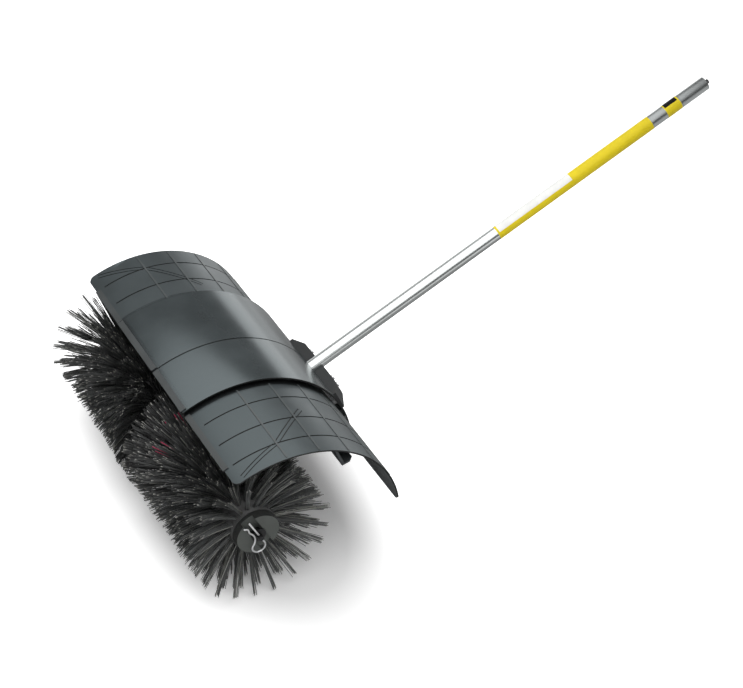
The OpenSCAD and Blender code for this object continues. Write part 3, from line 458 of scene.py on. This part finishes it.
# Tones of the filaments, of their cut tips and of the few red ones. Roots get painted shade, pale cut tips are
# painted highlights, the drum's end rows are painted lighter and its inner rim rows painted darker
BLACK_TONE = (0.07, 0.072, 0.071)
GREY_TONE = (0.17, 0.177, 0.175)
BACKING_TONE = (0.055, 0.057, 0.056)
PALE_TONE = (0.33, 0.335, 0.31)
PALE_SHARE = 0.04
END_PALE_SHARE = 0.16
TIP_HIGHLIGHT_TONE = (0.85, 0.84, 0.78)
TIP_RINGS = 2
SPECK_HIGHLIGHT_SHARE = 0.35
SPECK_HIGHLIGHT_BRIGHTNESS = (0.3, 1)
TUFT_TONE_SHARE = 0.25
TONE_SHARE = 1.0
END_PAINTED_LIGHT_SHARE = 1.3
RIM_PAINTED_SHADE_SHARES = (0.75, 0.9)
ROOT_SHADE_SHARE = 0.95
END_ROOT_SHADE_SHARE = 0.8
RED_TONE = (0.9, 0.07, 0.2)
RED_TUFTS = {(2, 6), (2, 7), (3, 7)}
RED_SHARE = 0.15
RED_RINGS = 3


def between(first, last, share):
    """The number that lies a share of the way from first to last."""
    return first + (last - first) * share


def in_disc(rng, radius):
    """A point spread evenly in a disc."""
    r = radius * math.sqrt(rng.random())
    a = rng.uniform(0, 2 * math.pi)
    return r * math.cos(a), r * math.sin(a)


def strand(verts, faces, root, tip, curve, bow, radius):
    """A tapered filament from root to tip that curves and bows, with a cut tip of its own points."""
    along = (tip - root).normalized()
    side = along.orthogonal().normalized()
    other = along.cross(side)
    first = len(verts)
    rings = len(RING_AT)
    for t in RING_AT:
        centre = root.lerp(tip, t) + curve * (t * t - t) + bow * (4 * t * (1 - t))
        r = radius * (1 - TAPER * t)
        for k in range(SIDES):
            a = 2 * math.pi * k / SIDES
            verts.append(centre + side * (r * math.cos(a)) + other * (r * math.sin(a)))
    for ring in range(rings - 1):
        for k in range(SIDES):
            a = first + ring * SIDES + k
            b = first + ring * SIDES + (k + 1) % SIDES
            faces.append((a, b, b + SIDES, a + SIDES))
    verts.extend(verts[-SIDES:])
    faces.append(tuple(first + rings * SIDES + k for k in range(SIDES)))


def backing(verts, faces, side):
    """The closed sleeve that carries the tufts."""
    first = len(verts)
    count = 2 * TUFTS_ROUND
    loops = [
        (DRUM_INNER_X, CORE_R),
        (DRUM_INNER_X, BACKING_R),
        (CORE_END_X, BACKING_R),
        (CORE_END_X, CORE_R),
    ]
    for x, r in loops:
        for k in range(count):
            a = 2 * math.pi * k / count
            verts.append(axle + Vector((side * x, r * math.cos(a), r * math.sin(a))))
    for n in range(len(loops)):
        here = first + n * count
        there = first + (n + 1) % len(loops) * count
        for k in range(count):
            quad = (here + k, here + (k + 1) % count, there + (k + 1) % count, there + k)
            faces.append(quad if side < 0 else quad[::-1])


def bristles(name, side, node):
    """All the tufts of one drum, as one mesh."""
    rng = random.Random(SEEDS[side])
    verts, faces, tones = [], [], []
    backing(verts, faces, side)
    tones += [BACKING_TONE] * len(verts)
    row_step = (CORE_END_X - DRUM_INNER_X - 2 * ROW_INSET) / (TUFT_ROWS - 1)
    out_dir = X_AXIS * side
    for i in range(TUFT_ROWS):
        root_x = DRUM_INNER_X + ROW_INSET + i * row_step
        lean = between(-LEAN_IN, LEAN_OUT, i / (TUFT_ROWS - 1))
        loose = min(1.0, (TUFT_ROWS - 1 - i) / END_ROWS)
        even = min(loose, i / END_ROWS)
        fan_x = between(END_TIP_SPREAD, TIP_SPREAD, loose)
        fan_t = between(END_TIP_SPREAD, ROUND_SPREAD, loose)
        roam = between(END_WANDER, TUFT_WANDER, loose)
        shortest = between(END_SHORTEST_SHARE, SHORTEST_SHARE, even) if i else INNER_SHORTEST_SHARE
        shade = between(END_ROOT_SHADE_SHARE, ROOT_SHADE_SHARE, loose)
        # End rows get painted light and the inner rim rows painted shade
        glow = between(END_PAINTED_LIGHT_SHARE, TONE_SHARE, loose)
        if i < len(RIM_PAINTED_SHADE_SHARES):
            glow *= RIM_PAINTED_SHADE_SHARES[i]
        count = FILAMENTS if loose else END_FILAMENTS
        thick = between(END_FILAMENT_R, FILAMENT_R, loose)
        pale = between(END_PALE_SHARE, PALE_SHARE, loose)
        for j in range(TUFTS_ROUND):
            angle = math.pi / TUFTS_ROUND * (2 * j + i % 2)
            radial = Vector((0, math.cos(angle), math.sin(angle)))
            round_dir = Vector((0, -math.sin(angle), math.cos(angle)))
            wander_x = rng.uniform(-roam, roam)
            wander_t = rng.uniform(-roam, roam)
            reach = rng.uniform(*TUFT_REACH) if i else 1.0
            tone = rng.uniform(0, 1)
            for _ in range(count):
                ux, ut = in_disc(rng, 1.0)
                sx, st = in_disc(rng, STRAND_SHAKE)
                stray = loose == 1 and rng.random() < STRAY_SHARE
                wide_x = STRAY_SPREAD if stray else fan_x
                wide_t = STRAY_SPREAD if stray else fan_t
                foot = radial * (CORE_R + ROOT_LIFT) + round_dir * (ut * ROOT_SPREAD)
                root = axle + out_dir * (root_x + ux * ROOT_SPREAD) + foot
                tip_r = BRUSH_R * reach * rng.uniform(shortest, 1.0)
                tip_x = min(root_x + lean + wander_x + ux * wide_x + sx, END_X)
                tip_x = max(tip_x, rng.uniform(*(INNER_X if tip_r > SOCKET_R else SHORT_INNER_X)))
                bend = INNER_CURVE_SHARE * (tip_x - root_x) if lean < 0 else CURVE_SHARE * lean
                across = wander_t + ut * wide_t + st
                tip_h = math.sqrt(tip_r ** 2 - across ** 2)
                tip = axle + out_dir * tip_x + radial * tip_h + round_dir * across
                bow = round_dir * rng.uniform(-BOW, BOW) + out_dir * rng.uniform(-BOW, BOW)
                radius = thick * rng.uniform(*THICKNESS_SHARES)
                strand(verts, faces, root, tip, out_dir * bend, bow, radius)
                share = tone * TUFT_TONE_SHARE + (1 - TUFT_TONE_SHARE) * rng.random()
                colour = tuple(between(b, g, share) for b, g in zip(BLACK_TONE, GREY_TONE))
                if rng.random() < pale:
                    colour = PALE_TONE
                # Painted shade darkens each strand towards its root
                for t in RING_AT[:-1]:
                    tones += [shaded(colour, glow * (shade + (1 - shade) * t))] * SIDES
                cut = shaded(colour, glow)
                # Some cut tips are painted pale as highlights
                if rng.random() < SPECK_HIGHLIGHT_SHARE:
                    cut = shaded(TIP_HIGHLIGHT_TONE, rng.uniform(*SPECK_HIGHLIGHT_BRIGHTNESS))
                tones += [cut] * (TIP_RINGS * SIDES)
                if side > 0 and (i, j) in RED_TUFTS and rng.random() < RED_SHARE:
                    tones[-RED_RINGS * SIDES:] = [RED_TONE] * (RED_RINGS * SIDES)
    obj = piece(name, verts, faces, "brush", [materials["bristle"]], [node])
    layer = obj.data.attributes.new("tone", "FLOAT_COLOR", "POINT")
    layer.data.foreach_set("color", [c for tone in tones for c in (*tone, 1.0)])


bristles("bristle_drum_left", 1, "bristles_left")
bristles("bristle_drum_right", -1, "bristles_right")

# Drive tube and its films
TUBE_R = 12.7 * MM
TUBE_IN_R = 11.2 * MM
TUBE_END = 1128 * MM
TUBE_START = 54 * MM
FILM_T = 0.3 * MM
FILM_LIFT = 0.006 * MM
END_ROUND = 0.5 * MM
MARK_AT = 1067 * MM
MARK_W = 2 * MM
MARK_T = 0.4 * MM
ROUND_SEGMENTS = 72
SHARP_EDGE = math.radians(35)
LONG_FILM = (657 * MM, 1002 * MM)
SHORT_FILM = (1035 * MM, 1067 * MM)
WHITE_PATCH = (661 * MM, 823 * MM)
BLACK_MARK = (1037 * MM, 1064 * MM)
ALL_ROUND = (0.0, 2 * math.pi)
WHITE_SIDES = (math.radians(39), math.radians(151))
BLACK_SIDES = (math.radians(72), math.radians(150))
tube_up = X_AXIS.cross(tube_dir)


def turned(name, profile, mats, node, span, sides):
    """
    A closed piece turned about the tube's line from a profile of (along, radius) points. It takes the second
    material in a span along the tube and between two angles round it, and the first elsewhere.
    """
    verts, faces, picks = [], [], []
    count = ROUND_SEGMENTS
    for u, r in profile:
        for k in range(count):
            a = 2 * math.pi * k / count
            ring = X_AXIS * (r * math.cos(a)) + tube_up * (r * math.sin(a))
            verts.append(tube_foot + tube_dir * u + ring)
    for n in range(len(profile)):
        after = (n + 1) % len(profile)
        middle = (profile[n][0] + profile[after][0]) / 2
        here = n * count
        there = after * count
        for k in range(count):
            faces.append((here + k, there + k, there + (k + 1) % count, here + (k + 1) % count))
            angle = 2 * math.pi * (k + 0.5) / count
            picks.append(int(span[0] < middle < span[1] and sides[0] < angle < sides[1]))
    obj = piece(name, verts, faces, "frame", mats, [node])
    obj.data.polygons.foreach_set("material_index", picks)
    layer = obj.data.uv_layers.new(name="UVMap")
    for poly in obj.data.polygons:
        for loop in poly.loop_indices:
            index = obj.data.loops[loop].vertex_index
            around = (index % count) / count
            layer.data[loop].uv = (profile[index // count][0], around)
    obj.data.set_sharp_from_angle(angle=SHARP_EDGE)


def film(name, ends, print_material, node, span, sides):
    """A closed sleeve on the tube, with rings where its print changes."""
    outer = [(u, TUBE_R + FILM_T) for u in (ends[0], *span, ends[1])]
    inner = [(u, TUBE_R + FILM_LIFT) for u in (ends[1], ends[0])]
    turned(name, outer + inner, [materials["film"], print_material], node, span, sides)


tube_profile = [
    (TUBE_START, TUBE_R),
    (LONG_FILM[1], TUBE_R),
    (MARK_AT, TUBE_R),
    (MARK_AT + MARK_T, TUBE_R - MARK_T),
    (MARK_AT + MARK_W - MARK_T, TUBE_R - MARK_T),
    (MARK_AT + MARK_W, TUBE_R),
    (TUBE_END - END_ROUND, TUBE_R),
    (TUBE_END, TUBE_R - END_ROUND),
    (TUBE_END, TUBE_IN_R + END_ROUND / 2),
    (TUBE_END - END_ROUND / 2, TUBE_IN_R),
    (TUBE_START, TUBE_IN_R),
]
tube_metals = [materials["tube_aluminium"], tube_end_metal]
beyond_film = (LONG_FILM[1], math.inf)
turned("tube_shell", tube_profile, tube_metals, "drive_tube", beyond_film, ALL_ROUND)
film("film_sleeve_long", LONG_FILM, label_white, "long_film", WHITE_PATCH, WHITE_SIDES)
film("film_sleeve_short", SHORT_FILM, label_black, "short_film", BLACK_MARK, BLACK_SIDES)

# Spring clips, bent from round wire in the same arcs as the CAD's
WIRE_R = 1.6 * MM
CLIP_X = 292 * MM
CLIP_TIP = 42 * MM
CLIP_LOOP = 19 * MM
LOOP_R = 12 * MM
NECK_R = 21.6 * MM
NOSE_R = 6 * MM
BULGE_R = 16 * MM
FLARE = 5 * MM
LOOP_TURN = math.radians(150)
BULGE_TURN = math.radians(20)
FLARE_TURN = math.radians(40)
QUARTER = math.pi / 2
BEND_STEP = math.radians(6)
WIRE_SIDES = 14

# Rings past a wire's end, as shares of its radius: how far on and how wide
WIRE_END_RINGS = [(0.25, 0.9), (0.6, 0.55)]


def polar(centre, radius, angle):
    """A point at an angle on a circle."""
    return (centre[0] + radius * math.cos(angle), centre[1] + radius * math.sin(angle))


def arc(centre, radius, start, end):
    """Points along an arc, ends included."""
    count = math.ceil(abs(end - start) / BEND_STEP)
    return [polar(centre, radius, start + (end - start) * n / count) for n in range(count + 1)]


def clip_line():
    """The clip's line as (along, across) points, from the straight leg's tip to the flared end."""
    loop = (CLIP_LOOP, LOOP_R)
    neck = polar(polar(loop, LOOP_R, LOOP_TURN), NECK_R, LOOP_TURN)
    bulge = polar(neck, NECK_R + BULGE_R, -QUARTER - BULGE_TURN)
    nose = polar(bulge, BULGE_R + NOSE_R, QUARTER + BULGE_TURN)
    flare = polar(nose, NOSE_R, -QUARTER - FLARE_TURN)
    end = (flare[0] - FLARE * math.cos(FLARE_TURN), flare[1] + FLARE * math.sin(FLARE_TURN))
    line = [(-CLIP_TIP, 0)]
    line += arc(loop, LOOP_R, -QUARTER, LOOP_TURN)
    line += arc(neck, NECK_R, LOOP_TURN - math.pi, -QUARTER - BULGE_TURN)[1:]
    line += arc(bulge, BULGE_R, QUARTER - BULGE_TURN, QUARTER + BULGE_TURN)[1:]
    line += arc(nose, NOSE_R, BULGE_TURN - QUARTER, -QUARTER - FLARE_TURN)[1:]
    return line + [end]


def wire(name, points, body):
    """Round wire along points, with rounded-off ends, in place of the CAD node named like its body."""
    verts, faces = [], []
    last = len(points) - 1
    rings = [(0, -shift, share) for shift, share in reversed(WIRE_END_RINGS)]
    rings += [(n, 0, 1) for n in range(last + 1)]
    rings += [(last, shift, share) for shift, share in WIRE_END_RINGS]
    for n, shift, share in rings:
        ahead = (points[min(n + 1, last)] - points[max(n - 1, 0)]).normalized()
        other = ahead.cross(X_AXIS).normalized()
        for k in range(WIRE_SIDES):
            a = 2 * math.pi * k / WIRE_SIDES
            ring = X_AXIS * math.cos(a) + other * math.sin(a)
            verts.append(points[n] + ahead * (shift * WIRE_R) + ring * (WIRE_R * share))
    for n in range(len(rings) - 1):
        for k in range(WIRE_SIDES):
            a = n * WIRE_SIDES + k
            b = n * WIRE_SIDES + (k + 1) % WIRE_SIDES
            faces.append((a, b, b + WIRE_SIDES, a + WIRE_SIDES))
    faces.append(tuple(reversed(range(WIRE_SIDES))))
    faces.append(tuple((len(rings) - 1) * WIRE_SIDES + k for k in range(WIRE_SIDES)))
    piece(name, verts, faces, body, [materials["clip_steel"]], [body])


clip_across = X_AXIS.cross(clip_dir)
for side, word in ((1, "left"), (-1, "right")):
    middle = axle + X_AXIS * (side * CLIP_X)
    points = [middle + clip_dir * a - clip_across * b for a, b in clip_line()]
    wire("spring_clip_" + word, points, "clip_" + word)

# Floor. The camera sees it lit near the object and plain white beyond an oval round it. Reflections see it
# darkened under the tube with painted shade, and plain white farther off. Places are from the floor below the axle
FLOOR_SIZE = 30.0
FLOOR_DARK = (0.94, 0.94, 0.94)
FLOOR_LIGHT = (0.95, 0.95, 0.95)
FLOOR_SCALE = 3.0
FLOOR_ROUGH = 0.9
FLOOR_LIFT = 0.1
FLOOR_FADE = (0.7, 1.5)
FLOOR_MIDDLE = Vector((0.05, 0.085, 0.0))
FLOOR_OVAL = Vector((0.42, 0.19, 1.0))
MIRROR_FADE = (0.45, 1.0)
MIRROR_MIDDLE = Vector((0.08, 0.45, 0.0))
MIRROR_ROUND = Vector((1.0, 1.0, 1.0))
MIRROR_SHADE_SHARE = 0.4
axle_foot = Vector((axle.x, axle.y, 0.0))


def vector_step(tree, operation, vector, second):
    """A vector math node fed by a link and a vector."""
    node = tree.nodes.new("ShaderNodeVectorMath")
    node.operation = operation
    tree.links.new(vector, node.inputs[0])
    node.inputs[1].default_value = second
    return node.outputs


def reach_from(tree, coords, place, oval):
    """How far the coordinates lie from a place, in half-widths of an oval."""
    away = vector_step(tree, "SUBTRACT", coords, place)["Vector"]
    share = vector_step(tree, "DIVIDE", away, oval)["Vector"]
    length = tree.nodes.new("ShaderNodeVectorMath")
    length.operation = "LENGTH"
    tree.links.new(share, length.inputs[0])
    return length.outputs["Value"]


def floor_material():
    """Pale matt floor that fades to plain white away from the object, for the camera and for reflections, which
    see it darkened near the object with painted shade.
    """
    mat, tree, shader = new_material("floor_white")
    coords = object_coords(tree)
    speck = noise(tree, coords, FLOOR_SCALE)
    tree.links.new(tint(tree, speck, FLOOR_DARK, FLOOR_LIGHT), shader.inputs["Base Color"])
    shader.inputs["Roughness"].default_value = FLOOR_ROUGH
    shader.inputs["Specular IOR Level"].default_value = 0.0
    near = reach_from(tree, coords, axle_foot + FLOOR_MIDDLE, FLOOR_OVAL)
    away = reach_from(tree, coords, axle_foot + MIRROR_MIDDLE, MIRROR_ROUND)
    path = tree.nodes.new("ShaderNodeLightPath").outputs
    # Painted shade: reflections see the floor darkened near the object
    mirror_shade = slope(tree, away, *MIRROR_FADE, 1 - MIRROR_SHADE_SHARE, 1.0)
    blacken(tree, shader, number(tree, "MULTIPLY", path["Is Glossy Ray"], mirror_shade))
    lift = slope(tree, near, *FLOOR_FADE, FLOOR_LIFT, 1.0)
    to_camera = number(tree, "MULTIPLY", path["Is Camera Ray"], lift)
    white = slope(tree, away, *MIRROR_FADE, 0.0, 1.0)
    to_mirror = number(tree, "MULTIPLY", path["Is Glossy Ray"], white)
    glow = tree.nodes.new("ShaderNodeEmission")
    tree.links.new(number(tree, "ADD", to_camera, to_mirror), glow.inputs["Strength"])
    both = tree.nodes.new("ShaderNodeAddShader")
    tree.links.new(shader.outputs["BSDF"], both.inputs[0])
    tree.links.new(glow.outputs["Emission"], both.inputs[1])
    tree.links.new(both.outputs["Shader"], tree.nodes["Material Output"].inputs["Surface"])
    return mat


half = FLOOR_SIZE / 2
corners = [(-half, -half, 0), (half, -half, 0), (half, half, 0), (-half, half, 0)]
floor_mesh = bpy.data.meshes.new("floor")
floor_mesh.from_pydata(corners, [], [(0, 1, 2, 3)])
floor_mesh.materials.append(floor_material())
floor = bpy.data.objects.new("floor", floor_mesh)
bpy.context.scene.collection.objects.link(floor)

# World: even light, and white to the camera. Reflections see a white backdrop behind the object, a pale
# wall on the right and dim walls elsewhere
WORLD_LEVEL = 0.22
DIM_LEVEL = 0.16
BACKDROP_TOP = (0.18, 0.23)
BACKDROP_SIDE = (-0.7071, 0.7071, 0.0)
BACKDROP_EDGE = (-0.2, 0.3)
WALL_SIDE = (-1.0, 0.0, 0.0)
WALL_EDGE = (0.78, 0.92)
WALL_LEVEL = 0.6
world = bpy.data.worlds.new("studio")
bpy.context.scene.world = world
world.use_nodes = True
sky = world.node_tree
direction = sky.nodes.new("ShaderNodeTexCoord").outputs["Generated"]
split = sky.nodes.new("ShaderNodeSeparateXYZ")
sky.links.new(direction, split.inputs["Vector"])
low = slope(sky, split.outputs["Z"], *BACKDROP_TOP, 1.0, 0.0)
back_share = vector_step(sky, "DOT_PRODUCT", direction, BACKDROP_SIDE)["Value"]
behind = slope(sky, back_share, *BACKDROP_EDGE, 0.0, 1.0)
wall_share = vector_step(sky, "DOT_PRODUCT", direction, WALL_SIDE)["Value"]
wall = slope(sky, wall_share, *WALL_EDGE, DIM_LEVEL, WALL_LEVEL)
studio = number(sky, "MAXIMUM", number(sky, "MULTIPLY", low, behind), wall)
path = sky.nodes.new("ShaderNodeLightPath").outputs
seen = number(sky, "MAXIMUM", path["Is Camera Ray"], path["Is Transmission Ray"])
mixed = sky.nodes.new("ShaderNodeMix")
sky.links.new(path["Is Glossy Ray"], mixed.inputs["Factor"])
mixed.inputs["A"].default_value = WORLD_LEVEL
sky.links.new(studio, mixed.inputs["B"])
level = number(sky, "MAXIMUM", mixed.outputs["Result"], seen)
sky.links.new(level, sky.nodes["Background"].inputs["Strength"])
sky.nodes["Background"].inputs["Color"].default_value = (1, 1, 1, 1)


def area_lamp(name, size, place, target, watts):
    """A rectangular softbox that faces a target, both from the axle's foot, out of the camera's sight."""
    lamp = bpy.data.lights.new(name, "AREA")
    lamp.shape = "RECTANGLE"
    lamp.size = size[0]
    lamp.size_y = size[1]
    lamp.energy = watts
    obj = bpy.data.objects.new(name, lamp)
    obj.location = axle_foot + Vector(place)
    obj.rotation_euler = (Vector(target) - Vector(place)).to_track_quat("-Z", "Y").to_euler()
    obj.visible_camera = False
    bpy.context.scene.collection.objects.link(obj)


area_lamp(
    "softbox_overhead",
    size=(2.15, 1.4),
    place=(0.225, 0.27, 1.1),
    target=(0.225, 0.27, 0.0),
    watts=16.0,
)
area_lamp(
    "softbox_near",
    size=(0.8, 0.8),
    place=(1.5, -0.2, 0.6),
    target=(0.3, 0.0, 0.13),
    watts=1.6,
)
area_lamp(
    "softbox_behind",
    size=(2.4, 0.66),
    place=(-1.5, 2.2, 0.41),
    target=(0.0, 0.59, 0.27),
    watts=4.4,
)

# Camera at the photograph's view
CAMERA_FROM_AXLE = Vector((2.53860, -1.02405, 2.53802))
CAMERA_ELEVATION = math.radians(40.7)
CAMERA_AZIMUTH = math.radians(61.2)
LENS_MM = 102.985
SENSOR_MM = 36.0
FARTHEST = 100.0
camera = bpy.data.cameras.new("camera")
camera.sensor_width = SENSOR_MM
camera.lens = LENS_MM
camera.clip_end = FARTHEST
camera_obj = bpy.data.objects.new("camera", camera)
camera_obj.location = axle + CAMERA_FROM_AXLE
camera_obj.rotation_euler = (math.pi / 2 - CAMERA_ELEVATION, 0, CAMERA_AZIMUTH)
bpy.context.scene.collection.objects.link(camera_obj)
bpy.context.scene.camera = camera_obj

bpy.context.scene.view_settings.view_transform = "Standard"
